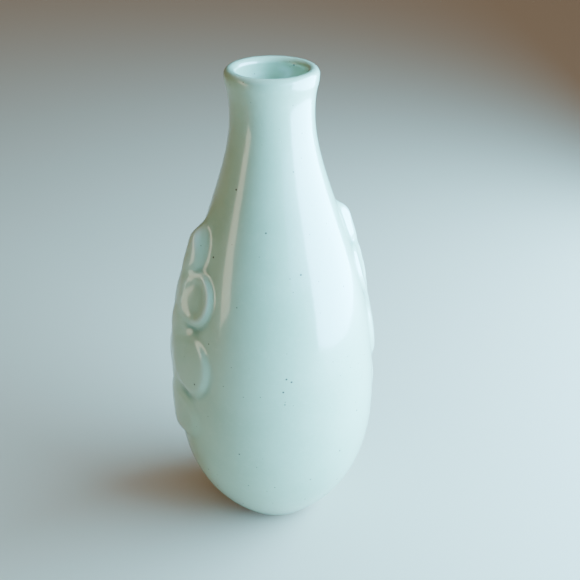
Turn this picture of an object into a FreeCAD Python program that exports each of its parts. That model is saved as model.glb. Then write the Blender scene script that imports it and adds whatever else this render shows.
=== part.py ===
"""Ceramic bud vase: thrown clay sections, applied petals and coats of glaze. Millimetres, +Z up.

The origin is the centre of the foot on the table. The two flowers face -X (left) and +X (right),
and the plain sides face -Y (front) and +Y (back).
"""

import FreeCAD, Part
import math
import os

# Overall shape, over the glaze
TOTAL_HEIGHT = 150.0
BELLY_DIAMETER = 63.5
WIDEST_HEIGHT = 43.0
NECK_DIAMETER = 23.3
NECK_BELOW_TOP = 11.6  # from the top of the lip down to the waist of the neck
MOUTH_DIAMETER = 25.5

# Foot: the belly's outline starts at the rim of a flat underside, which overhangs a foot ring
BASE_DIAMETER = 33.0
FOOT_OVERHANG = 2.5  # from the rim of the underside in to the foot ring
FOOT_HEIGHT = 2.5
FOOT_RING_WIDTH = 3.4
FOOT_EDGE_RADIUS = 0.7
TONGUE_WIDTH = 1.4
TONGUE_HEIGHT = 0.8

# Clay walls and glaze
BELLY_WALL = 4.0
NECK_WALL = 2.6
FLOOR_THICKNESS = 4.5
GLAZE = 0.35
SEAM_LAP = 3.0  # height of the lap where the neck section sits on the belly section

# How full the curves of the outline are: the lengths of their tangents
BELLY_START_ANGLE = 51.5  # degrees above the table, where the belly leaves the foot
BELLY_START_PULL = 8.8
BELLY_END_PULL = 23.9
SHOULDER_START_PULL = 48.4
SHOULDER_END_PULL = 22.0
FLARE_START_PULL = 7.2
FLARE_END_PULL = 3.4
FLOOR_START_PULL = 17.0
FLOOR_END_PULL = 21.0

# Applied flowers
FLOWERS = {"left": 180.0, "right": 6.0}  # the way each flower faces, in degrees from +X
PETAL_THICKNESS = 1.25
PETAL_GAP = 0.3
PETAL_EDGE_RADIUS = 0.5
RIM_WIDTH = 2.4
DISH_DEPTH = 0.55

# The raised middle of a flower: how much thicker the clay is along the flower's middle line, at a
# low height and at a high one, and how it fades to the sides
RISE_LOW = dict(z=44.0, rise=0.9)
RISE_HIGH = dict(z=82.0, rise=3.3)
RISE_SPREAD = 11.3  # the turn from the middle line, in degrees, where a third of the rise is left

# The pieces of a flower: the middle's height above the table, how far to the side of the flower's
# own middle line it lies, half of its width, half of its height, and whether its face is dished
FLOWER_CENTRE = dict(z=77.5, aside=0.0, half_width=3.6, half_height=4.2, dished=False)
TOP_PETAL = dict(z=98.0, aside=0.0, half_width=6.8, half_height=9.5, dished=False)
UPPER_PETAL = dict(z=87.0, aside=6.5, half_width=6.0, half_height=8.3, dished=True)
LOWER_PETAL = dict(z=66.0, aside=8.7, half_width=8.0, half_height=10.2, dished=False)
BOTTOM_PETAL = dict(z=46.5, aside=0.0, half_width=13.4, half_height=9.2, dished=False)

# Worked out from the values above
BELLY_R = BELLY_DIAMETER / 2 - GLAZE
NECK_R = NECK_DIAMETER / 2 - GLAZE
MOUTH_R = MOUTH_DIAMETER / 2 - GLAZE
BASE_R = BASE_DIAMETER / 2
FOOT_R = BASE_R - FOOT_OVERHANG
LIP_R = NECK_WALL / 2
LIP_HEIGHT = TOTAL_HEIGHT - GLAZE - LIP_R  # centre of the lip's round edge
NECK_HEIGHT = TOTAL_HEIGHT - NECK_BELOW_TOP
FLOOR_HEIGHT = FOOT_HEIGHT + FLOOR_THICKNESS
RING_MIDDLE_R = FOOT_R - FOOT_RING_WIDTH / 2
BODY_LOW = BOTTOM_PETAL["z"] - BOTTOM_PETAL["half_height"] - 6  # between these two heights
BODY_HIGH = TOP_PETAL["z"] + TOP_PETAL["half_height"] + 6
BODY_TURN = 42  # and this many degrees to each side lies all of a flower
BODY_DEPTH = BELLY_R / 2
FAR = 2 * max(TOTAL_HEIGHT, BELLY_DIAMETER)  # reaches past the whole vase

Z = FreeCAD.Vector(0, 0, 1)


def point(r, z):
    """A point of an outline, in the XZ plane."""
    return FreeCAD.Vector(r, 0, z)


def line(a, b):
    return Part.LineSegment(a, b).toShape()


def curve(*poles):
    bezier = Part.BezierCurve()
    bezier.setPoles(list(poles))
    return bezier.toShape()


def arc(a, middle, b):
    return Part.Arc(a, middle, b).toShape()


def belly_curve(out):
    """The lower outside of the clay, moved outwards by out, from the base to the widest line."""
    angle = math.radians(BELLY_START_ANGLE)
    along = point(math.cos(angle), math.sin(angle))
    across = point(math.sin(angle), -math.cos(angle))
    start = point(BASE_R, FOOT_HEIGHT) + across * out
    widest = point(BELLY_R + out, WIDEST_HEIGHT)
    return curve(start, start + along * BELLY_START_PULL, widest - Z * BELLY_END_PULL, widest)


def shoulder_curve(out, wall_below=0.0, wall_above=0.0):
    """From the widest line to the waist of the neck. The walls move it inwards, to the inside."""
    widest = point(BELLY_R + out - wall_below, WIDEST_HEIGHT)
    waist = point(NECK_R + out - wall_above, NECK_HEIGHT)
    return curve(widest, widest + Z * SHOULDER_START_PULL, waist - Z * SHOULDER_END_PULL, waist)


def flare_curve(out, wall=0.0):
    """From the waist of the neck to the lip's round edge."""
    waist = point(NECK_R + out - wall, NECK_HEIGHT)
    mouth = point(MOUTH_R + out - wall, LIP_HEIGHT)
    return curve(waist, waist + Z * FLARE_START_PULL, mouth - Z * FLARE_END_PULL, mouth)


def floor_curve(raised):
    """The bowl inside the belly, from the middle of the floor to the widest line."""
    middle = point(0, FLOOR_HEIGHT + raised)
    widest = point(BELLY_R - BELLY_WALL - raised, WIDEST_HEIGHT)
    beside = middle + point(FLOOR_START_PULL, 0)
    return curve(middle, beside, widest - Z * FLOOR_END_PULL, widest)


def lip_arc(out):
    """Over the lip, from its outside to its inside."""
    middle = point(MOUTH_R - LIP_R, LIP_HEIGHT)
    reach = LIP_R + out
    return arc(middle + point(reach, 0), middle + point(0, reach), middle - point(reach, 0))


def inside_curves(raised):
    """The inside from the floor to the lip, covered by a coat of the given thickness."""
    return [
        floor_curve(raised),
        shoulder_curve(-raised, BELLY_WALL, NECK_WALL),
        flare_curve(-raised, NECK_WALL),
    ]


def outside_curves(out):
    return [belly_curve(out), shoulder_curve(out), flare_curve(out)]


def first(edge):
    return edge.valueAt(edge.FirstParameter)


def last(edge):
    return edge.valueAt(edge.LastParameter)


def turned(edges, start_angle=0.0, angle=360.0):
    """The solid that a closed outline sweeps about the vase's axis."""
    wire = Part.Wire(Part.__sortEdges__(edges))
    face = Part.Face(wire)
    face.rotate(FreeCAD.Vector(), Z, start_angle)
    return face.revolve(FreeCAD.Vector(), Z, angle)


def ring(inner, outer, low, high):
    """A plain ring about the vase's axis."""
    tube = Part.makeCylinder(outer, high - low, point(0, low))
    if inner > 0:
        tube = tube.cut(Part.makeCylinder(inner, high - low, point(0, low)))
    return tube


def clay_vessel():
    """All the thrown clay above the foot ring, before it is parted at the seam."""
    outside = outside_curves(0.0)
    inside = inside_curves(0.0)
    underside = point(0, FOOT_HEIGHT)
    edges = outside + [lip_arc(0.0)] + inside
    edges.append(line(underside, first(outside[0])))
    edges.append(line(underside, first(inside[0])))
    return turned(edges)


def below_seam():
    """The space that the belly section takes: all below the widest line, and the outer half of the lap."""
    lap_r = BELLY_R - BELLY_WALL / 2
    under = Part.makeCylinder(FAR, FAR, point(0, WIDEST_HEIGHT - FAR))
    lap = ring(lap_r, FAR, WIDEST_HEIGHT, WIDEST_HEIGHT + SEAM_LAP)
    return under.fuse(lap)


def foot_tongue():
    half = TONGUE_WIDTH / 2
    return ring(RING_MIDDLE_R - half, RING_MIDDLE_R + half, FOOT_HEIGHT, FOOT_HEIGHT + TONGUE_HEIGHT)


def belly_section():
    return clay_vessel().common(below_seam()).cut(foot_tongue())


def neck_section():
    return clay_vessel().cut(below_seam())


def foot_ring():
    """A bare ring with rounded feet, whose tongue sits in a groove under the belly section."""
    plain = ring(FOOT_R - FOOT_RING_WIDTH, FOOT_R, 0, FOOT_HEIGHT)
    feet = [edge for edge in plain.Edges if edge.BoundBox.ZMax < FOOT_HEIGHT / 2]
    return plain.makeFillet(FOOT_EDGE_RADIUS, feet).fuse(foot_tongue()).removeSplitter()


def flower_thickness(height, turn):
    """How far a flower's face stands off the clay at a height and a turn from its middle line."""
    share = (height - RISE_LOW["z"]) / (RISE_HIGH["z"] - RISE_LOW["z"])
    share = min(1.0, max(0.0, share))
    share = share * share * (3 - 2 * share)
    rise = RISE_LOW["rise"] + share * (RISE_HIGH["rise"] - RISE_LOW["rise"])
    return PETAL_THICKNESS + rise * math.exp(-((turn / RISE_SPREAD) ** 2))


def vessel_core():
    """The vessel up to the waist of its neck, filled in."""
    outside = [belly_curve(0.0), shoulder_curve(0.0)]
    low = first(outside[0])
    high = last(outside[1])
    edges = outside + [line(low, point(0, low.z)), line(high, point(0, high.z))]
    edges.append(line(point(0, low.z), point(0, high.z)))
    return turned(edges)


def flower_body(facing, sink):
    """All the clay a flower may take up: its face, sunk by sink, carried inwards to the vessel."""
    rows = []
    for curve in (belly_curve(0.0), shoulder_curve(0.0)):
        for step in range(1, 40):
            spot = curve.FirstParameter + (curve.LastParameter - curve.FirstParameter) * step / 40
            place = curve.valueAt(spot)
            along = curve.tangentAt(spot)
            if BODY_LOW < place.z < BODY_HIGH:
                out = FreeCAD.Vector(abs(along.z), 0, 0)
                out.z = -along.x if along.z > 0 else along.x
                rows.append((place, out))
    rows.sort(key=lambda row: row[0].z)
    grid = []
    for place, out in rows:
        points = []
        for turn in range(-BODY_TURN, BODY_TURN + 1, 3):
            thick = flower_thickness(place.z, turn) - sink
            spot = place + out * thick
            points.append(FreeCAD.Rotation(Z, facing + turn).multVec(spot))
        grid.append(points)
    face = Part.BSplineSurface()
    face.interpolate(grid)
    inwards = FreeCAD.Rotation(Z, facing).multVec(point(-BODY_DEPTH, 0))
    return face.toShape().extrude(inwards).cut(vessel_core())


def clay_radius(height):
    """The vessel's outside radius, bare of glaze, at a height."""
    level = line(point(0, height), point(FAR, height))
    side = Part.Wire([belly_curve(0.0), shoulder_curve(0.0)])
    return side.distToShape(level)[1][0][0].x


def petal_bar(facing, petal, grow):
    """A straight bar with the petal's oval outline, from the vase's axis outwards."""
    across = petal["half_width"] + grow
    up = petal["half_height"] + grow
    outline = Part.Ellipse(FreeCAD.Vector(), max(across, up), min(across, up)).toShape()
    if up > across:
        outline.rotate(FreeCAD.Vector(), Z, 90)
    bar = Part.Face(Part.Wire(outline)).extrude(Z * FAR)
    bar.rotate(FreeCAD.Vector(), FreeCAD.Vector(0, 1, 0), 90)
    bar.rotate(FreeCAD.Vector(), FreeCAD.Vector(1, 0, 0), 90)
    turn = math.degrees(math.asin(petal["aside"] / clay_radius(petal["z"])))
    bar.rotate(FreeCAD.Vector(), Z, facing + turn)
    bar.translate(point(0, petal["z"]))
    return bar


def flower_pieces(side):
    """The pieces of one flower, the uppermost first: a piece gives way to those before it."""
    front = 1 if side == "left" else -1  # the way that leads to the front of the vase
    pieces = {f"{side}_flower_centre": FLOWER_CENTRE}
    for way, sign in (("front", front), ("back", -front)):
        pieces[f"{side}_upper_{way}_petal"] = dict(UPPER_PETAL, aside=sign * UPPER_PETAL["aside"])
        pieces[f"{side}_lower_{way}_petal"] = dict(LOWER_PETAL, aside=sign * LOWER_PETAL["aside"])
    pieces[f"{side}_top_petal"] = TOP_PETAL
    pieces[f"{side}_bottom_petal"] = BOTTOM_PETAL
    return pieces


def front_edges(solid):
    """The edges round the face of a petal that looks away from the clay."""
    faces = [face for face in solid.Faces if isinstance(face.Surface, Part.BSplineSurface)]
    return [edge for face in faces for edge in face.Edges]


def flower_solids(side):
    """The clay pieces of one flower, lying on the vessel and clear of each other."""
    facing = FLOWERS[side]
    body = flower_body(facing, 0.0)
    under = flower_body(facing, DISH_DEPTH)
    solids = {}
    before = []
    for name, petal in flower_pieces(side).items():
        solid = body.common(petal_bar(facing, petal, 0.0))
        solid = solid.makeFillet(PETAL_EDGE_RADIUS, front_edges(solid))
        if petal["dished"]:
            solid = solid.cut(body.cut(under).common(petal_bar(facing, petal, -RIM_WIDTH)))
        for other in before:
            solid = solid.cut(petal_bar(facing, other, PETAL_GAP))
        before.append(petal)
        solids[name] = solid
    return solids


def outer_glaze():
    """The coat over the outside and the lip, open where the applied petals stand through it."""
    clay = outside_curves(0.0)
    face = outside_curves(GLAZE)
    edges = clay + face + [lip_arc(0.0), lip_arc(GLAZE)]
    edges.append(line(first(clay[0]), first(face[0])))
    edges.append(line(last(lip_arc(0.0)), last(lip_arc(GLAZE))))
    coat = turned(edges)
    for side, facing in FLOWERS.items():
        for petal in flower_pieces(side).values():
            coat = coat.cut(petal_bar(facing, petal, 0.0))
    return coat


def inner_glaze():
    """The coat poured inside, from the floor up to the lip."""
    clay = inside_curves(0.0)
    face = inside_curves(GLAZE)
    edges = clay + face
    edges.append(line(first(clay[0]), first(face[0])))
    edges.append(line(last(clay[2]), last(face[2])))
    return turned(edges)


def write(name, shape):
    """Writes one node, after making sure that it is one valid closed solid."""
    if not shape.isValid() or len(shape.Solids) != 1 or shape.Volume <= 0:
        raise ValueError(f"{name} has {len(shape.Solids)} solids, valid: {shape.isValid()}")
    shape.Solids[0].exportStep(f"parts/{name}.step")
    box = shape.BoundBox
    print(f"{name:26s} {shape.Volume:10.1f} mm3  z {box.ZMin:7.2f} to {box.ZMax:7.2f}")


def main():
    os.makedirs("parts", exist_ok=True)
    write("foot_ring", foot_ring())
    write("belly_section", belly_section())
    write("neck_section", neck_section())
    write("outer_glaze", outer_glaze())
    write("inner_glaze", inner_glaze())
    for side in FLOWERS:
        for name, solid in flower_solids(side).items():
            write(name, solid)


main()
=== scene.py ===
"""Looks of the ceramic bud vase: its coats of glaze, glazed petals, bare foot, light and camera."""

import math

import bpy
import numpy as np
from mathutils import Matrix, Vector
from mathutils.geometry import delaunay_2d_cdt


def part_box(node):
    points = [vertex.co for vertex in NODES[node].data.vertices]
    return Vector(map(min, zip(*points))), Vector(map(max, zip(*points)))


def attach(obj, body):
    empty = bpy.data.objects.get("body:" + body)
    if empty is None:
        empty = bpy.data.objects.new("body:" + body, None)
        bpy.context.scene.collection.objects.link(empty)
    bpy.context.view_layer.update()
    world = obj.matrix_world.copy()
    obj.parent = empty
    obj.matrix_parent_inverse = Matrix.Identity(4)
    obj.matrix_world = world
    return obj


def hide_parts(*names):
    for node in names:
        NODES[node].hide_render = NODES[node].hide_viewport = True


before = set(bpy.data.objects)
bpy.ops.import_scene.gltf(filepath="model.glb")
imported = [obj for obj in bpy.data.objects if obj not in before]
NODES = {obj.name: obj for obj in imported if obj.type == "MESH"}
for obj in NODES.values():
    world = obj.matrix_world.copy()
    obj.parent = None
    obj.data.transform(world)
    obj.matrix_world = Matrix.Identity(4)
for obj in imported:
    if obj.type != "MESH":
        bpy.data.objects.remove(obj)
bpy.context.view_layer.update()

MM = 0.001
PI = math.pi

# ---------------------------------------------------------------- sizes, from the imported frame


def node_box(node):
    """A CAD node's lowest and highest corner, as arrays in millimetres."""
    low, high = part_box(node)
    return np.array(low) / MM, np.array(high) / MM


BELLY_LOW, BELLY_HIGH = node_box("belly_section")
NECK_LOW, NECK_HIGH = node_box("neck_section")

TOP = node_box("outer_glaze")[1][2]
GLAZE = TOP - NECK_HIGH[2]
FOOT_HEIGHT = BELLY_LOW[2]
BELLY_R = BELLY_HIGH[1]
WIDEST = NECK_LOW[2]
FLOOR = node_box("inner_glaze")[0][2]

# The outline's other sizes, in millimetres, as the CAD has them
BASE_R = 16.5
NECK_R = 11.3
MOUTH_LENGTH = 11.6  # from the waist of the neck to the top of the lip
NECK_HEIGHT = TOP - MOUTH_LENGTH
MOUTH_R = 12.4
BELLY_WALL = 4.0
NECK_WALL = 2.6
LIP_R = NECK_WALL / 2
LIP_HEIGHT = TOP - GLAZE - LIP_R
BELLY_ANGLE = math.radians(51.5)
BELLY_PULLS = (8.8, 23.9)
SHOULDER_PULLS = (48.4, 22.0)
FLARE_PULLS = (7.2, 3.4)
FLOOR_PULLS = (17.0, 21.0)
CURVE_SAMPLES = 600  # along each curve, where radii are read from it

# ---------------------------------------------------------------- the outline as curves


def bezier(poles, t):
    """Points and tangents of a cubic curve."""
    p = np.array(poles, dtype=float)
    t = np.asarray(t, dtype=float)[:, None]
    s = 1 - t
    at = s**3 * p[0] + 3 * s * s * t * p[1] + 3 * s * t * t * p[2] + t**3 * p[3]
    along = s * s * (p[1] - p[0]) + 2 * s * t * (p[2] - p[1]) + t * t * (p[3] - p[2])
    return at, along


def belly_poles(out):
    """From the rim of the underside to the widest line, a distance out from the clay."""
    along = np.array([math.cos(BELLY_ANGLE), math.sin(BELLY_ANGLE)])
    across = np.array([along[1], -along[0]])
    start = np.array([BASE_R, FOOT_HEIGHT]) + across * out
    widest = np.array([BELLY_R + out, WIDEST])
    return [start, start + along * BELLY_PULLS[0], widest - [0, BELLY_PULLS[1]], widest]


def shoulder_poles(out, wall_below=0.0, wall_above=0.0):
    """From the widest line to the waist of the neck; with walls, the inside."""
    widest = np.array([BELLY_R + out - wall_below, WIDEST])
    waist = np.array([NECK_R + out - wall_above, NECK_HEIGHT])
    return [widest, widest + [0, SHOULDER_PULLS[0]], waist - [0, SHOULDER_PULLS[1]], waist]


def flare_poles(out, wall=0.0):
    """From the waist of the neck to the lip; with a wall, the inside."""
    waist = np.array([NECK_R + out - wall, NECK_HEIGHT])
    mouth = np.array([MOUTH_R + out - wall, LIP_HEIGHT])
    return [waist, waist + [0, FLARE_PULLS[0]], mouth - [0, FLARE_PULLS[1]], mouth]


def floor_poles(raised):
    """The inside from the middle of the floor to the widest line."""
    middle = np.array([0.0, FLOOR + raised])
    widest = np.array([BELLY_R - BELLY_WALL - raised, WIDEST])
    return [middle, middle + [FLOOR_PULLS[0], 0], widest - [0, FLOOR_PULLS[1]], widest]


def outside(out):
    """Points and unit tangents of the whole outside, a distance out from the clay."""
    samples = np.linspace(0, 1, CURVE_SAMPLES)
    curves = [bezier(p, samples) for p in (belly_poles(out), shoulder_poles(out), flare_poles(out))]
    at = np.vstack([c[0] for c in curves])
    along = np.vstack([c[1] for c in curves])
    return at, along / np.linalg.norm(along, axis=1)[:, None]


CLAY_AT = outside(0)[0]
COAT_AT, COAT_ALONG = outside(GLAZE)


def clay_radius(z):
    return np.interp(z, CLAY_AT[:, 1], CLAY_AT[:, 0])


def coat_radius(z):
    return np.interp(z, COAT_AT[:, 1], COAT_AT[:, 0])


def coat_normal(z):
    """The (r, z) normal of the smooth coat at a height."""
    ar = np.interp(z, COAT_AT[:, 1], COAT_ALONG[:, 0])
    az = np.interp(z, COAT_AT[:, 1], COAT_ALONG[:, 1])
    size = np.hypot(ar, az)
    return az / size, -ar / size


# ---------------------------------------------------------------- the flowers' petals

FACING = {"left": PI, "right": math.radians(6.0)}

# The ovals as the CAD has them: how the face is modelled, height above the table, how far aside of
# the flower's middle line (positive to the front), half of the width, half of the height
OVALS = {
    "flower_centre": ("boss", 77.5, 0.0, 3.6, 4.2),
    "upper_front_petal": ("dish", 87.0, 6.5, 6.0, 8.3),
    "upper_back_petal": ("dish", 87.0, -6.5, 6.0, 8.3),
    "lower_front_petal": ("dome", 66.0, 8.7, 8.0, 10.2),
    "lower_back_petal": ("dome", 66.0, -8.7, 8.0, 10.2),
    "top_petal": ("top", 98.0, 0.0, 6.8, 9.5),
    "bottom_petal": ("pad", 46.5, 0.0, 13.4, 9.2),
}
SIDE_KINDS = ("dish", "dome")
UNDER_KINDS = ("top", "pad")  # these two lie under the side petals' edges


def smooth(x, low, high):
    """0 up to low and 1 from high on, with a smooth rise between."""
    t = np.clip((x - low) / (high - low), 0, 1)
    return t * t * (3 - 2 * t)


def turn_from(facing, theta):
    """How far round from a direction, between half a turn back and half a turn on."""
    return np.angle(np.exp(1j * (theta - facing)))


class Petal:
    """One petal's oval on the vase, and how deep inside it a place is."""

    def __init__(self, side, name):
        self.kind, self.z, aside, self.half_width, self.half_height = OVALS[name]
        self.node = f"{side}_{name}"
        self.facing = FACING[side]
        front = 1 if side == "left" else -1
        self.turn = front * math.asin(aside / clay_radius(self.z))

    def across(self, turn, z):
        return coat_radius(z) * np.sin(turn - self.turn) / self.half_width

    def inside(self, turn, z):
        """1 at the oval's middle, 0 on its outline."""
        return 1 - np.hypot(self.across(turn, z), (z - self.z) / self.half_height)

    def depth(self, turn, z):
        """The same in millimetres, near enough."""
        return self.inside(turn, z) * (self.half_width * self.half_height) ** 0.5

    def outer(self, turn, z):
        """-1 on the side towards the flower's middle line, 1 on the side away from it."""
        return self.across(turn, z) * math.copysign(1, self.turn)

    def below(self, z):
        """-1 at the oval's upper end, 1 at its lower end."""
        return (self.z - z) / self.half_height

    def outline(self, count):
        angle = np.linspace(0, 2 * PI, count, endpoint=False)
        z = self.z + self.half_height * np.sin(angle)
        turn = self.turn + np.arcsin(self.half_width * np.cos(angle) / coat_radius(z))
        return turn, z


# ---------------------------------------------------------------- the flowers' relief

# Heights are in millimetres over the smooth coat. Depths are distances inside a petal's outline,
# given as where a slope starts and where it is full.
PETAL_THICKNESS = 1.25
RISE_LOW, RISE_HIGH = (44.0, 0.9), (82.0, 3.3)  # a height, and the rise along the middle line there
RISE_SPREAD = math.radians(11.3)

STEP_UP = 0.35  # how far the ground between the petals lies below their faces
LEAST_GROUND = 0.1
GROUND_DEPTHS = (-1.2, 2.0)
TOP_PETAL_SHARE = 0.5  # how much the tall petal's depths count for the ground
SPINE_Z, SPINE_HALF_WIDTH, SPINE_HALF_HEIGHT = 74.0, 9.0, 33.0  # ground along the middle line
SPINE_DEPTH = 4.2

# Each kind's swells over the ground: the height, and its depths
SWELLS = {
    "boss": [(0.3, -0.8, 2.8)],
    "dome": [(0.45, -0.3, 1.8), (0.5, 0.8, 7.0)],
    "top": [(0.35, 0.0, 4.5)],
    "pad": [(0.4, -0.3, 3.0), (0.25, 1.0, 7.0)],
}
# A dished petal's rim all round, and how much higher it is on its outer side and at its lower end
RIM, RIM_OUTER, RIM_BELOW = 0.45, 0.315, 0.135
RIM_DEPTHS = (-0.3, 1.1)
DISH, DISH_OUTER = 0.4, 0.3  # how far the dish sinks, and how much further on its outer side
DISH_DEPTHS = (1.1, 3.2)
# Places between -1, the inner side or upper end, and 1, the outer side or lower end
DISH_OUTER_SIDE, DISH_LOWER_END = (-0.9, 0.5), (-0.6, 0.7)

CREASE = 0.55  # cut under the side petals' lower edges
CREASE_DEPTH, CREASE_WIDTH = -0.45, 0.6
CREASE_OUTER_SIDE, CREASE_LOWER_END = (-0.7, 0.0), (-0.1, 0.7)
COVER_WIDTH = 1.3  # over which a petal dies away beside one that lies over it

LOWEST = -0.14  # the deepest that a crease goes into the coat
SOFTNESS = 0.75  # of the glaze over all edges
POOL_REACH = 1.5  # glaze pools where the face is below its mean over this distance

ROW = 0.25  # between the relief grid's heights
STEP = math.radians(0.4)  # between the relief grid's turns
HALF_SPAN = math.radians(64)  # of the grid, each way from a flower's middle line
BAND_LOW, BAND_HIGH = 33.0, 115.0  # the heights between which the flowers lie
BAND_R = 27.0  # the coat's radius there, near enough
GRID_MARGIN = 2  # of the grid past the band
LAST_CELL = 1.001  # keeps a place on the grid's far edge inside its last cell


def blur(grid, sigma):
    """A Gaussian blur of sigma millimetres."""
    for axis, pitch in ((0, ROW), (1, STEP * BAND_R)):
        reach = int(math.ceil(3 * sigma / pitch))
        k = np.exp(-0.5 * (np.arange(-reach, reach + 1) * pitch / sigma) ** 2)
        k /= k.sum()
        grid = np.apply_along_axis(lambda v: np.convolve(np.pad(v, reach, "edge"), k, "valid"), axis, grid)
    return grid


def full_height(turn, z):
    """How far the flower's face stands over the smooth coat."""
    share = smooth(z, RISE_LOW[0], RISE_HIGH[0])
    rise = RISE_LOW[1] + share * (RISE_HIGH[1] - RISE_LOW[1])
    return PETAL_THICKNESS - GLAZE + rise * np.exp(-((turn / RISE_SPREAD) ** 2))


def ground_height(petals, turn, z):
    """The common ground under and between the petals."""
    aside = coat_radius(z) * np.sin(turn)
    spine = 1 - np.hypot(aside / SPINE_HALF_WIDTH, (z - SPINE_Z) / SPINE_HALF_HEIGHT)
    depths = [p.depth(turn, z) * (TOP_PETAL_SHARE if p.kind == "top" else 1.0) for p in petals]
    deepest = np.max(depths + [spine * SPINE_DEPTH], axis=0)
    return np.maximum(full_height(turn, z) - STEP_UP, LEAST_GROUND) * smooth(deepest, *GROUND_DEPTHS)


def own_height(petal, turn, z):
    """A petal's own modelling over the common ground."""
    depth = petal.depth(turn, z)
    if petal.kind != "dish":
        return sum(height * smooth(depth, start, full) for height, start, full in SWELLS[petal.kind])
    outer = smooth(petal.outer(turn, z), *DISH_OUTER_SIDE)
    below = smooth(petal.below(z), *DISH_LOWER_END)
    rim = (RIM + RIM_OUTER * outer + RIM_BELOW * below) * smooth(depth, *RIM_DEPTHS)
    return rim - (DISH + DISH_OUTER * outer) * smooth(depth, *DISH_DEPTHS)


def crease(petal, turn, z):
    """How far the crease under a side petal's lower edge is cut in."""
    here = smooth(petal.below(z), *CREASE_LOWER_END) * smooth(petal.outer(turn, z), *CREASE_OUTER_SIDE)
    return CREASE * here * np.exp(-(((petal.depth(turn, z) - CREASE_DEPTH) / CREASE_WIDTH) ** 2))


def flower_height(petals, turn, z):
    """The flower's modelled height, before the glaze softens it."""
    side_petals = [p for p in petals if p.kind in SIDE_KINDS]
    own = np.zeros_like(z)
    for petal in petals:
        face = own_height(petal, turn, z)
        if petal.kind in UNDER_KINDS:
            for other in side_petals:
                face = face * smooth(-other.depth(turn, z), 0.0, COVER_WIDTH)
        higher = np.maximum(own, face)
        own = np.where(petal.depth(turn, z) > 0, face, higher) if petal.kind == "dish" else higher
    for petal in side_petals:
        own -= crease(petal, turn, z)
    return np.maximum(ground_height(petals, turn, z) + own, LOWEST)


class Flower:
    """One flower's petals, and its softened relief on a grid of turns and heights."""

    def __init__(self, side):
        self.facing = FACING[side]
        self.petals = [Petal(side, name) for name in OVALS]
        self.turns = np.arange(-HALF_SPAN, HALF_SPAN + STEP / 2, STEP)
        self.rows = np.arange(BAND_LOW - GRID_MARGIN, BAND_HIGH + GRID_MARGIN, ROW)
        turn, z = np.meshgrid(self.turns, self.rows)
        height = blur(flower_height(self.petals, turn, z), SOFTNESS)
        slope_up, slope_round = np.gradient(height, ROW, STEP)
        self.grids = (height, slope_round, slope_up, blur(height, POOL_REACH) - height)

    def read(self, grid, turn, z):
        """A grid's values at any places, from the four corners round each."""
        x = np.clip((turn - self.turns[0]) / STEP, 0, len(self.turns) - LAST_CELL)
        y = np.clip((z - self.rows[0]) / ROW, 0, len(self.rows) - LAST_CELL)
        i, j = x.astype(int), y.astype(int)
        fx, fy = x - i, y - j
        return (
            grid[j, i] * (1 - fx) * (1 - fy)
            + grid[j, i + 1] * fx * (1 - fy)
            + grid[j + 1, i] * (1 - fx) * fy
            + grid[j + 1, i + 1] * fx * fy
        )


FLOWERS = [Flower(side) for side in FACING]
PETALS = [petal for flower in FLOWERS for petal in flower.petals]


def relief_at(theta, z):
    """Height, its slopes per radian and per millimetre up, and how pooled the glaze is."""
    found = [np.zeros_like(z) for _ in range(4)]
    for flower in FLOWERS:
        turn = turn_from(flower.facing, theta)
        here = (np.abs(turn) < HALF_SPAN) & (z > flower.rows[0]) & (z < flower.rows[-1])
        for values, grid in zip(found, flower.grids):
            values[here] = flower.read(grid, turn[here], z[here])
    return found


# ---------------------------------------------------------------- surfaces

SEGMENTS = 288  # round the vase
THETAS = np.arange(SEGMENTS) * 2 * PI / SEGMENTS
PROFILE_SAMPLES = 2000  # along a curve, from which evenly spaced points are picked
END_SLACK = 1e-9
WELD_CELLS = 1e4  # per millimetre; points in the same cell become one


def placed(theta, r, z):
    return np.stack([r * np.cos(theta), r * np.sin(theta), z], axis=1)


def relief_surface(theta, z):
    """Points, normals and pooling of the coat and its petals over the relief band."""
    height, slope_round, slope_up, pool = relief_at(theta, z)
    r = coat_radius(z)
    nr, nz = coat_normal(z)
    at = placed(theta, r + height * nr, z + height * nz)
    out = placed(theta, nr, nz)
    sideways = placed(theta + PI / 2, np.ones_like(r), np.zeros_like(r))
    up = placed(theta, -nz, nr)
    normals = out - sideways * (slope_round / r)[:, None] - up * (slope_up * nr)[:, None]
    normals /= np.linalg.norm(normals, axis=1)[:, None]
    return at, normals, pool


def clay_surface(theta, z):
    """The clay's outside under the coat."""
    return placed(theta, clay_radius(z), z)


def turned(profile, along, flip=False):
    """A surface of revolution through (r, z) points, with the profile's own normals."""
    rows, cols = len(profile), SEGMENTS
    r = np.repeat(profile[:, 0], cols)
    z = np.repeat(profile[:, 1], cols)
    theta = np.tile(THETAS, rows)
    size = np.hypot(along[:, 0], along[:, 1])
    nr = np.repeat(along[:, 1] / size, cols)
    nz = np.repeat(-along[:, 0] / size, cols)
    at = placed(theta, r, z)
    faces = []
    for i in range(rows - 1):
        for j in range(cols):
            k = (j + 1) % cols
            quad = (i * cols + j, i * cols + k, (i + 1) * cols + k, (i + 1) * cols + j)
            faces.append(quad[::-1] if flip else quad)
    return at, placed(theta, nr, nz), np.zeros(len(at)), faces


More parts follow.
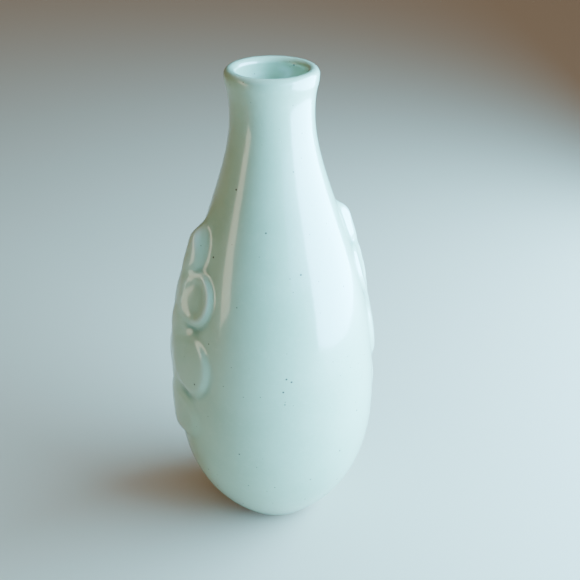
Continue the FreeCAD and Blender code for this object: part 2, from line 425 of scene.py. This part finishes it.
def profile_between(poles, low, high, step):
    """The part of a curve between two heights, at about equal steps."""
    at, along = bezier(poles, np.linspace(0, 1, PROFILE_SAMPLES))
    keep = (at[:, 1] >= low - END_SLACK) & (at[:, 1] <= high + END_SLACK)
    at, along = at[keep], along[keep]
    run = np.concatenate([[0], np.cumsum(np.hypot(*np.diff(at, axis=0).T))])
    count = max(2, int(round(run[-1] / step)) + 1)
    pick = np.linspace(0, run[-1], count)
    return (
        np.stack([np.interp(pick, run, at[:, i]) for i in (0, 1)], axis=1),
        np.stack([np.interp(pick, run, along[:, i]) for i in (0, 1)], axis=1),
    )


def welded(parts):
    """Joins parts of (points, normals, pooling, faces), and makes points in one place one point."""
    faces = []
    base = 0
    for at, _, _, part_faces in parts:
        faces += [tuple(i + base for i in face) for face in part_faces]
        base += len(at)
    points = np.vstack([part[0] for part in parts])
    key = np.round(points * WELD_CELLS).astype(np.int64)
    _, first, back = np.unique(key, axis=0, return_index=True, return_inverse=True)
    back = back.ravel()
    kept = []
    for face in faces:
        ring = []
        for i in face:
            j = int(back[i])
            if not ring or (j != ring[-1] and j != ring[0]):
                ring.append(j)
        if len(ring) > 2:
            kept.append(ring)
    normals = np.vstack([part[1] for part in parts])[first]
    pools = np.concatenate([part[2] for part in parts])[first]
    return points[first], normals, pools, kept


def make_piece(name, parts, material, replaced, body="root"):
    """One object from parts of (points, normals, pooling, faces)."""
    points, normals, pools, faces = welded(parts)
    mesh = bpy.data.meshes.new(name)
    mesh.from_pydata((points * MM).tolist(), [], faces)
    mesh.update()
    for poly in mesh.polygons:
        poly.use_smooth = True
    layer = mesh.attributes.new("pool", "FLOAT", "POINT")
    layer.data.foreach_set("value", pools.astype(np.float32))
    mesh.normals_split_custom_set_from_vertices(normals.tolist())
    mesh.materials.append(material)
    obj = bpy.data.objects.new(name, mesh)
    bpy.context.scene.collection.objects.link(obj)
    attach(obj, body)
    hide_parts(*replaced)
    return obj


# ---------------------------------------------------------------- the band with the flowers

BAND_PITCH = 0.55  # between its rows of points, in millimetres
BAND_ROWS = int((BAND_HIGH - BAND_LOW) / BAND_PITCH)
SEAM = -PI / 2  # where the band is cut open to lie flat
FLAT_R = 30.0  # millimetres of the flat band per radian, so that its triangles come out even
OUTLINE_PITCH = 0.5  # between points along a petal's outline
OUTLINE_GAP = 0.3  # which the grid's points leave beside an outline
FINE_SPAN = math.radians(56)  # each way from a flower's middle line, where the grid is whole
COARSE_COLUMN, COARSE_ROW = 2, 3  # elsewhere only each second column and third row is used
SAME_POINT = 1e-6


def band_grid():
    """The band's plain points, as directions round the vase and heights."""
    i, j = (a.ravel() for a in np.meshgrid(np.arange(SEGMENTS + 1), np.arange(BAND_ROWS + 1)))
    theta = i * 2 * PI / SEGMENTS + SEAM
    z = np.linspace(BAND_LOW, BAND_HIGH, BAND_ROWS + 1)[j]
    near = np.zeros(len(theta), dtype=bool)
    fine = np.zeros(len(theta), dtype=bool)
    for petal in PETALS:
        turn = turn_from(petal.facing, theta)
        near |= np.abs(petal.depth(turn, z)) < OUTLINE_GAP
        fine |= np.abs(turn) < FINE_SPAN
    edge = (j == 0) | (j == BAND_ROWS) | (i == 0) | (i == SEGMENTS)
    coarse = (i % COARSE_COLUMN == 0) & (j % COARSE_ROW == 0)
    use = edge | (fine & ~near) | (~fine & coarse)
    return theta[use], z[use]


def band_mesh():
    """The band as triangles that follow the petals' outlines, and each triangle's petal or -1."""
    points = [Vector((t * FLAT_R, h)) for t, h in zip(*band_grid())]
    loops = []
    for petal in PETALS:
        count = int(PI * (petal.half_width + petal.half_height) / OUTLINE_PITCH)
        turns, heights = petal.outline(count)
        start = len(points)
        points += [Vector(((petal.facing + t) * FLAT_R, h)) for t, h in zip(turns, heights)]
        loops += [(start + k, start + (k + 1) % count) for k in range(count)]
    flat_points, _, faces = delaunay_2d_cdt(points, loops, [], 0, SAME_POINT)[:3]
    at = np.array([[v.x / FLAT_R, v.y] for v in flat_points])
    tris = np.array([f for f in faces if len(f) == 3])
    middle = at[tris].mean(axis=1)
    owner = np.full(len(tris), -1)
    order = sorted(range(len(PETALS)), key=lambda k: PETALS[k].kind in UNDER_KINDS)
    for k in reversed(order):
        turn = turn_from(PETALS[k].facing, middle[:, 0])
        owner[PETALS[k].inside(turn, middle[:, 1]) > 0] = k
    return at[:, 0], at[:, 1], tris, owner


def open_patch(theta, z, tris):
    """A patch of the glazed band."""
    used, back = np.unique(tris, return_inverse=True)
    at, normals, pool = relief_surface(theta[used], z[used])
    return at, normals, pool, [tuple(t) for t in back.reshape(-1, 3).tolist()]


def closed_patch(theta, z, tris):
    """A patch of the glazed band with the clay side under it and walls round its edge."""
    used = np.unique(tris)
    at, normals, pool, top = open_patch(theta, z, tris)
    under = clay_surface(theta[used], z[used])
    count = len(used)
    bottom = [(a + count, c + count, b + count) for a, b, c in top]
    edges = [edge for a, b, c in top for edge in ((a, b), (b, c), (c, a))]
    shared = set(edges)
    walls = [(b, a, a + count, b + count) for a, b in edges if (b, a) not in shared]
    faces = top + bottom + walls
    return np.vstack([at, under]), np.vstack([normals, -normals]), np.concatenate([pool, pool]), faces


# ---------------------------------------------------------------- materials


def linear(r, g, b):
    """An 8-bit screen colour as linear light, with its alpha."""
    shares = [c / 255 for c in (r, g, b)]
    return (*(s / 12.92 if s <= 0.04045 else ((s + 0.055) / 1.055) ** 2.4 for s in shares), 1)


CELADON = linear(162, 185, 155)
CELADON_CLOUD = linear(154, 179, 149)
CELADON_GRAIN = linear(172, 191, 162)
CELADON_POOLED = linear(96, 132, 108)
CELADON_THIN = linear(186, 204, 186)
IRON_FAINT = linear(96, 92, 76)
IRON_DARK = linear(62, 52, 42)
STONEWARE = linear(196, 172, 142)
STONEWARE_CLOUD = linear(170, 142, 112)
GRIT = linear(96, 74, 56)
STUDIO_FLOOR = linear(178, 156, 134)


class Graph:
    """A new material and short ways to add its nodes. Sizes on the surface are in metres."""

    def __init__(self, name):
        self.material = bpy.data.materials.new(name)
        self.material.use_nodes = True
        self.nodes = self.material.node_tree.nodes
        self.shader = next(n for n in self.nodes if n.type == "BSDF_PRINCIPLED")

    def fill(self, node, values):
        """Sets a node's inputs: a socket is linked, and anything else is a fixed value."""
        for name, value in values.items():
            if isinstance(value, bpy.types.NodeSocket):
                self.material.node_tree.links.new(value, node.inputs[name])
            else:
                node.inputs[name].default_value = value

    def node(self, kind, values, **settings):
        node = self.nodes.new(kind)
        for name, value in settings.items():
            setattr(node, name, value)
        self.fill(node, values)
        return node

    def place(self):
        return self.node("ShaderNodeTexCoord", {}).outputs["Object"]

    def attribute(self, name):
        return self.node("ShaderNodeAttribute", {}, attribute_name=name).outputs["Fac"]

    def noise(self, place, scale, detail, roughness):
        values = {"Vector": place, "Scale": scale, "Detail": detail, "Roughness": roughness}
        return self.node("ShaderNodeTexNoise", values).outputs["Fac"]

    def ramp(self, value, start, end, low=0.0, high=1.0):
        """Goes smoothly from low to high as the value goes from start to end."""
        values = {"Value": value, "From Min": start, "From Max": end, "To Min": low, "To Max": high}
        node = self.node("ShaderNodeMapRange", values, interpolation_type="SMOOTHSTEP")
        return node.outputs["Result"]

    def mix(self, factor, a, b):
        """Mixes two colours. By number, inputs 6 and 7 and output 2 are the node's colour sockets."""
        return self.node("ShaderNodeMix", {"Factor": factor, 6: a, 7: b}, data_type="RGBA").outputs[2]

    def maths(self, operation, a, b):
        return self.node("ShaderNodeMath", {0: a, 1: b}, operation=operation).outputs[0]

    def specks(self, place, cell, radius, soft, chance):
        """Dots where a random point lies near the surface: 1 in a dot, 0 outside."""
        cells = self.node("ShaderNodeTexVoronoi", {"Vector": place, "Scale": 1 / cell})
        dot = self.ramp(cells.outputs["Distance"], (radius + soft) / cell, (radius - soft) / cell)
        parts = self.node("ShaderNodeSeparateColor", {"Color": cells.outputs["Color"]})
        return self.maths("MULTIPLY", dot, self.maths("LESS_THAN", parts.outputs[0], chance))

    def bump(self, value, distance, strength, under=None):
        values = {"Height": value, "Distance": distance, "Strength": strength}
        if under is not None:
            values["Normal"] = under
        return self.node("ShaderNodeBump", values).outputs["Normal"]


def glaze_material():
    """Pale celadon: soft mottling, iron specks, thin glaze on edges and pools in creases."""
    graph = Graph("celadon_glaze")
    place = graph.place()
    cloud = graph.noise(place, scale=70.0, detail=3.0, roughness=0.55)
    grain = graph.noise(place, scale=600.0, detail=3.0, roughness=0.6)
    pool = graph.attribute("pool")
    small = graph.specks(place, cell=0.0034, radius=0.00017, soft=0.00007, chance=0.7)
    big = graph.specks(place, cell=0.0052, radius=0.00030, soft=0.00009, chance=0.85)
    colour = graph.mix(graph.ramp(cloud, 0.3, 0.7), CELADON, CELADON_CLOUD)
    colour = graph.mix(graph.ramp(grain, 0.45, 0.75, high=0.35), colour, CELADON_GRAIN)
    colour = graph.mix(graph.ramp(pool, 0.03, 0.42, high=0.85), colour, CELADON_POOLED)
    colour = graph.mix(graph.ramp(pool, -0.04, -0.3, high=0.6), colour, CELADON_THIN)
    colour = graph.mix(small, colour, IRON_FAINT)
    colour = graph.mix(big, colour, IRON_DARK)
    peel = graph.noise(place, scale=420.0, detail=2.0, roughness=0.5)
    pits = graph.specks(place, cell=0.0021, radius=0.00012, soft=0.00006, chance=0.5)
    normal = graph.bump(peel, distance=0.00012, strength=0.12)
    normal = graph.bump(graph.maths("SUBTRACT", 1.0, pits), distance=0.00006, strength=0.8, under=normal)
    values = {
        "Base Color": colour,
        "Roughness": graph.ramp(grain, 0.3, 0.8, low=0.28, high=0.4),
        "IOR": 1.5,
        "Normal": normal,
        "Coat Weight": 0.9,
        "Coat Roughness": 0.09,
        "Coat IOR": 1.55,
        "Coat Normal": normal,
    }
    graph.fill(graph.shader, values)
    return graph.material


def clay_material():
    """Bare buff stoneware with fine grit."""
    graph = Graph("bare_stoneware")
    place = graph.place()
    cloud = graph.noise(place, scale=120.0, detail=4.0, roughness=0.6)
    grit = graph.noise(place, scale=1800.0, detail=2.0, roughness=0.6)
    colour = graph.mix(graph.ramp(cloud, 0.3, 0.7), STONEWARE, STONEWARE_CLOUD)
    colour = graph.mix(graph.ramp(grit, 0.62, 0.75), colour, GRIT)
    normal = graph.bump(grit, distance=0.00012, strength=0.6)
    graph.fill(graph.shader, {"Base Color": colour, "Roughness": 0.85, "Normal": normal})
    return graph.material


# ---------------------------------------------------------------- pieces

LIP_POINTS = 22
ROLL_POINTS = 7
INSIDE_FLARE_POINTS, INSIDE_SHOULDER_POINTS, INSIDE_FLOOR_POINTS = 18, 70, 50
ROLL_BULGE = 0.6  # how far the coat's lower edge bulges, as a share of half its thickness
FLOOR_START = 0.004  # of the floor's curve; a pinhole is left in the middle of the floor


def outer_coat_profiles():
    """The coat's plain stretches: its lower edge, the belly, the neck, the mouth and the lip."""
    belly_at, belly_along = profile_between(belly_poles(GLAZE), 0.0, BAND_LOW, step=1.0)
    belly_at[-1] = [coat_radius(BAND_LOW), BAND_LOW]
    neck_at, neck_along = profile_between(shoulder_poles(GLAZE), BAND_HIGH, NECK_HEIGHT, step=0.8)
    neck_at[0] = [coat_radius(BAND_HIGH), BAND_HIGH]
    flare = profile_between(flare_poles(GLAZE), NECK_HEIGHT, LIP_HEIGHT, step=0.5)

    angle = np.linspace(0, PI, LIP_POINTS)
    reach = LIP_R + GLAZE
    lip_at = np.stack([MOUTH_R - LIP_R + reach * np.cos(angle), LIP_HEIGHT + reach * np.sin(angle)], axis=1)
    lip_along = np.stack([-np.sin(angle), np.cos(angle)], axis=1)

    # the rounded edge of the coat at the rim of the underside
    rim = np.array([BASE_R, FOOT_HEIGHT])
    across = (belly_at[0] - rim) / 2
    outwards = np.array([across[1], -across[0]])
    sweep = np.linspace(-PI, 0, ROLL_POINTS)[:, None]
    roll_at = rim + across + across * np.cos(sweep) - ROLL_BULGE * outwards * np.sin(sweep)
    roll_along = np.gradient(roll_at, axis=0)
    roll_along[-1] = belly_along[0]
    return (roll_at, roll_along), (belly_at, belly_along), (neck_at, neck_along), flare, (lip_at, lip_along)


def inner_coat_profiles():
    """The coat poured inside, from the lip down to the middle of the floor."""
    flare = bezier(flare_poles(-GLAZE, NECK_WALL), np.linspace(0, 1, INSIDE_FLARE_POINTS))
    shoulder_samples = np.linspace(0, 1, INSIDE_SHOULDER_POINTS)
    shoulder = bezier(shoulder_poles(-GLAZE, BELLY_WALL, NECK_WALL), shoulder_samples)
    floor = bezier(floor_poles(GLAZE), np.linspace(FLOOR_START, 1, INSIDE_FLOOR_POINTS))
    return flare, shoulder, floor


def build_pieces():
    glaze = glaze_material()
    clay = clay_material()
    for node in ("foot_ring", "belly_section", "neck_section"):
        mesh = NODES[node].data
        mesh.materials.clear()
        mesh.materials.append(clay)

    theta, z, tris, owner = band_mesh()
    for k, petal in enumerate(PETALS):
        patch = closed_patch(theta, z, tris[owner == k])
        make_piece(f"{petal.node}_glazed", [patch], glaze, [petal.node])

    parts = [open_patch(theta, z, tris[owner < 0])]
    parts += [turned(at, along) for at, along in outer_coat_profiles()]
    make_piece("outer_glaze_coat", parts, glaze, ["outer_glaze"])

    parts = [turned(at, -along, flip=True) for at, along in inner_coat_profiles()]
    make_piece("inner_glaze_coat", parts, glaze, ["inner_glaze"])


build_pieces()

# ---------------------------------------------------------------- floor, light and camera, in metres

HEIGHT = TOP * MM
FLOOR_HALF = 6.0

CAMERA_AZIMUTH = -18.0  # from the front towards the right, in degrees
CAMERA_DOWN = 31.0  # how far below level it looks, in degrees
CAMERA_ASIDE = 1.32  # how far to the right of the vase's axis it looks, in degrees
CAMERA_DISTANCE = 1.4036 * HEIGHT
CAMERA_HEIGHT = 1.387 * HEIGHT
SENSOR, LENS = 36.0, 49.66  # in millimetres
CLIP_START, CLIP_END = 0.01, 50.0

WINDOW_BLUE = (0.21, 0.62, 1.0)
SKY_BLUE = (0.20, 0.56, 1.0)
ROOM_WHITE = (1.0, 0.93, 0.80)
LAMP_YELLOW = (1.0, 0.90, 0.66)
DIM_ROOM = (1.0, 0.88, 0.70, 1)
DIM_ROOM_STRENGTH = 0.10
OVERHEAD_HEIGHT = 3.0


def add_floor():
    half = FLOOR_HALF
    corners = [(-half, -half, 0), (half, -half, 0), (half, half, 0), (-half, half, 0)]
    mesh = bpy.data.meshes.new("floor")
    mesh.from_pydata(corners, [], [(0, 1, 2, 3)])
    floor = bpy.data.objects.new("floor", mesh)
    bpy.context.scene.collection.objects.link(floor)
    graph = Graph("floor")
    graph.fill(graph.shader, {"Base Color": STUDIO_FLOOR, "Roughness": 0.7})
    mesh.materials.append(graph.material)


def sheet(name, width, height, colour, power):
    """A rectangle of light that faces down, and that the camera doesn't see."""
    light = bpy.data.lights.new(name, "AREA")
    light.shape = "RECTANGLE"
    light.size = width
    light.size_y = height
    light.color = colour
    light.energy = power
    obj = bpy.data.objects.new(name, light)
    bpy.context.scene.collection.objects.link(obj)
    obj.visible_camera = False
    return obj


def panel(name, azimuth, distance, low, high, width, colour, power, lean=0.0):
    """An upright sheet that faces the vase. Azimuth 0 is towards the viewer and 90 to the right."""
    obj = sheet(name, width, high - low, colour, power)
    angle = math.radians(azimuth + CAMERA_AZIMUTH)
    middle = (low + high) / 2
    place = Vector((math.sin(angle) * distance, -math.cos(angle) * distance, middle))
    obj.location = place
    obj.rotation_euler = (Vector((0, 0, middle)) - place).to_track_quat("-Z", "Y").to_euler()
    obj.rotation_euler.rotate_axis("Z", math.radians(lean))


def add_lights():
    world = bpy.data.worlds.new("studio")
    world.use_nodes = True
    background = world.node_tree.nodes["Background"]
    background.inputs["Color"].default_value = DIM_ROOM
    background.inputs["Strength"].default_value = DIM_ROOM_STRENGTH
    bpy.context.scene.world = world
    panel("window", azimuth=88, distance=0.26, low=0.001, high=0.36, width=0.42, colour=WINDOW_BLUE,
          power=25.0)
    panel("front", azimuth=36, distance=0.60, low=0.10, high=0.50, width=0.30, colour=SKY_BLUE, power=2.4)
    overhead = sheet("overhead", width=8.0, height=8.0, colour=ROOM_WHITE, power=90.0)
    overhead.location = (0, 0, OVERHEAD_HEIGHT)
    panel("strip", azimuth=-72, distance=0.42, low=0.003, high=0.36, width=0.09, colour=LAMP_YELLOW,
          power=0.42, lean=30)


def add_camera():
    data = bpy.data.cameras.new("camera")
    data.sensor_width = SENSOR
    data.lens = LENS
    data.clip_start = CLIP_START
    data.clip_end = CLIP_END
    camera = bpy.data.objects.new("camera", data)
    bpy.context.scene.collection.objects.link(camera)
    angle = math.radians(CAMERA_AZIMUTH)
    camera.location = (math.sin(angle) * CAMERA_DISTANCE, -math.cos(angle) * CAMERA_DISTANCE, CAMERA_HEIGHT)
    camera.rotation_euler = (math.radians(90 - CAMERA_DOWN), 0, angle - math.radians(CAMERA_ASIDE))
    bpy.context.scene.camera = camera


add_floor()
add_lights()
add_camera()
